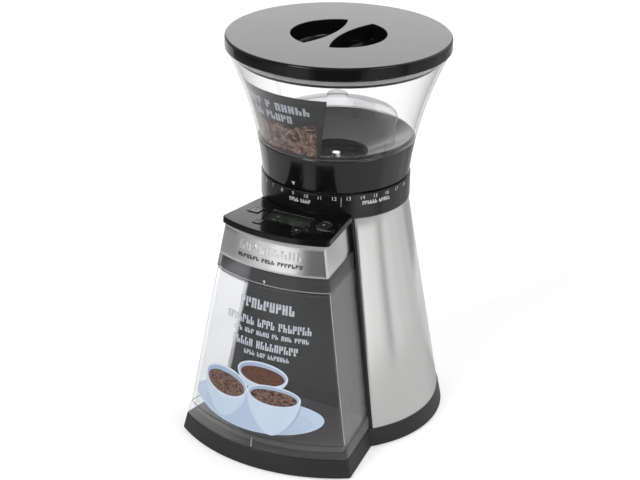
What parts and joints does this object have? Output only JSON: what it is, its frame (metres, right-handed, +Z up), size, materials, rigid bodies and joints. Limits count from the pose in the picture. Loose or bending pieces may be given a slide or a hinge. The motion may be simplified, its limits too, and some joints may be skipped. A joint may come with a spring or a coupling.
{
  "type": "burr coffee grinder",
  "caption": "Upright burr coffee grinder with a flared clear hopper, numbered dial, steel cone body and a slide-out grounds chamber in front.",
  "frame": {"origin": "on the table, under the middle of the footprint", "axes": "+Z up; -Y is the front, where the grounds chamber slides out; +X is to the right of someone facing its back"},
  "size_m": [0.181, 0.222, 0.3088],
  "materials": {
    "satin_black": "satin",
    "rubber_black": "matte",
    "screw_steel": "satin",
    "brushed_cone": "brushed",
    "brushed_fascia": "brushed",
    "channel_black": "satin",
    "panel_gloss": "gloss",
    "display_lens": "gloss",
    "display_green": "satin",
    "board_green": "satin",
    "key_black": "satin",
    "dial_black": "gloss",
    "nylon_grey": "satin",
    "tray_grey": "satin",
    "shaft_steel": "machined",
    "gear_nylon": "satin",
    "burr_steel": "machined",
    "pinion_brass": "machined",
    "stack_steel": "satin",
    "copper": "satin",
    "motor_zinc": "satin",
    "magnet_grey": "matte",
    "part_blue": "satin",
    "chamber_clear": "gloss",
    "chamber_smoke": "gloss",
    "hopper_clear": "gloss",
    "skirt_gloss": "gloss",
    "lid_gloss": "gloss",
    "seal_soft": "satin"
  },
  "bodies": {
    "stand": {"plinth": "satin_black", "bottom_plate": "satin_black", "feet": "rubber_black", "plate_screws": "screw_steel", "cord_bushing": "rubber_black", "steel_cone": "brushed_cone", "inner_housing": "channel_black", "head_frame": "channel_black", "fascia": "brushed_fascia", "control_panel": "panel_gloss", "display_lens": "display_lens", "display_module": "display_green", "panel_board": "board_green", "dial_ring": "dial_black", "ramp_ring": "nylon_grey", "burr_tray": "tray_grey", "tray_screws": "screw_steel", "chute": "tray_grey", "gearbox_case": "tray_grey", "gearbox_cover": "tray_grey", "gearbox_screws": "screw_steel", "mount_bushes": "rubber_black", "bearings": "shaft_steel", "mid_pin": "shaft_steel", "motor_can": "motor_zinc", "motor_screws": "screw_steel", "motor_bell": "tray_grey", "motor_magnets": "magnet_grey", "motor_brushes": "magnet_grey", "power_board": "board_green", "board_parts": "part_blue", "chamber_switch": "tray_grey", "hopper_switch": "tray_grey"},
    "key_1": {"key_left_rear": "key_black"},
    "key_2": {"key_right_rear": "key_black"},
    "key_3": {"key_left_front": "key_black"},
    "key_4": {"key_right_front": "key_black"},
    "bean_hopper": {"hopper": "hopper_clear", "hopper_skirt": "skirt_gloss", "finger_guard": "hopper_clear"},
    "hopper_lid": {"lid": "lid_gloss", "lid_seal": "seal_soft"},
    "upper_burr": {"ring_burr": "burr_steel", "burr_carrier": "tray_grey"},
    "lower_burr": {"drive_shaft": "shaft_steel", "output_gear": "gear_nylon", "impeller": "gear_nylon", "cone_burr": "burr_steel", "burr_nut": "shaft_steel"},
    "mid_gears": {"mid_gear": "gear_nylon"},
    "rotor": {"motor_pinion": "pinion_brass", "rotor_shaft": "shaft_steel", "rotor_stack": "stack_steel", "rotor_windings": "copper", "commutator": "copper", "motor_fan": "tray_grey"},
    "grounds_chamber": {"chamber": "chamber_clear", "chamber_lid": "chamber_smoke"}
  },
  "joints": [
    {"name": "hopper_turn", "type": "hinge", "parent": "stand", "child": "bean_hopper", "pos_m": [0, 0.02065, 0.202], "axis": [0, 0, 1], "range_deg": [-86, 96.75]},
    {"name": "burr_lift", "type": "slide", "parent": "bean_hopper", "child": "upper_burr", "axis": [0, 0, 1], "range_m": [-0.00075, 0.00085]},
    {"name": "lid_lift", "type": "slide", "parent": "bean_hopper", "child": "hopper_lid", "axis": [0, 0, 1], "range_m": [0, 0.1]},
    {"name": "chamber_slide", "type": "slide", "parent": "stand", "child": "grounds_chamber", "axis": [0, -1, 0], "range_m": [0, 0.15]},
    {"name": "key_left_rear_press", "type": "slide", "parent": "stand", "child": "key_1", "axis": [0, 0, -1], "range_m": [0, 0.0008], "stiffness_N_per_m": 300},
    {"name": "key_right_rear_press", "type": "slide", "parent": "stand", "child": "key_2", "axis": [0, 0, -1], "range_m": [0, 0.0008], "stiffness_N_per_m": 300},
    {"name": "key_left_front_press", "type": "slide", "parent": "stand", "child": "key_3", "axis": [0, 0, -1], "range_m": [0, 0.0008], "stiffness_N_per_m": 300},
    {"name": "key_right_front_press", "type": "slide", "parent": "stand", "child": "key_4", "axis": [0, 0, -1], "range_m": [0, 0.0008], "stiffness_N_per_m": 300},
    {"name": "rotor_spin", "type": "hinge", "parent": "stand", "child": "rotor", "pos_m": [0, 0.04065, 0.1], "axis": [0, 0, 1], "continuous": true},
    {"name": "mid_spin", "type": "hinge", "parent": "stand", "child": "mid_gears", "pos_m": [0.02352, 0.03585, 0.145], "axis": [0, 0, 1], "continuous": true},
    {"name": "burr_spin", "type": "hinge", "parent": "stand", "child": "lower_burr", "pos_m": [0, 0.02065, 0.19], "axis": [0, 0, 1], "continuous": true}
  ],
  "couplings": [
    {"joint": "burr_lift", "follows": "hopper_turn", "m_per_rad": 0.00047028},
    {"joint": "mid_spin", "follows": "rotor_spin", "ratio": -0.25},
    {"joint": "burr_spin", "follows": "rotor_spin", "ratio": 0.083333}
  ]
}
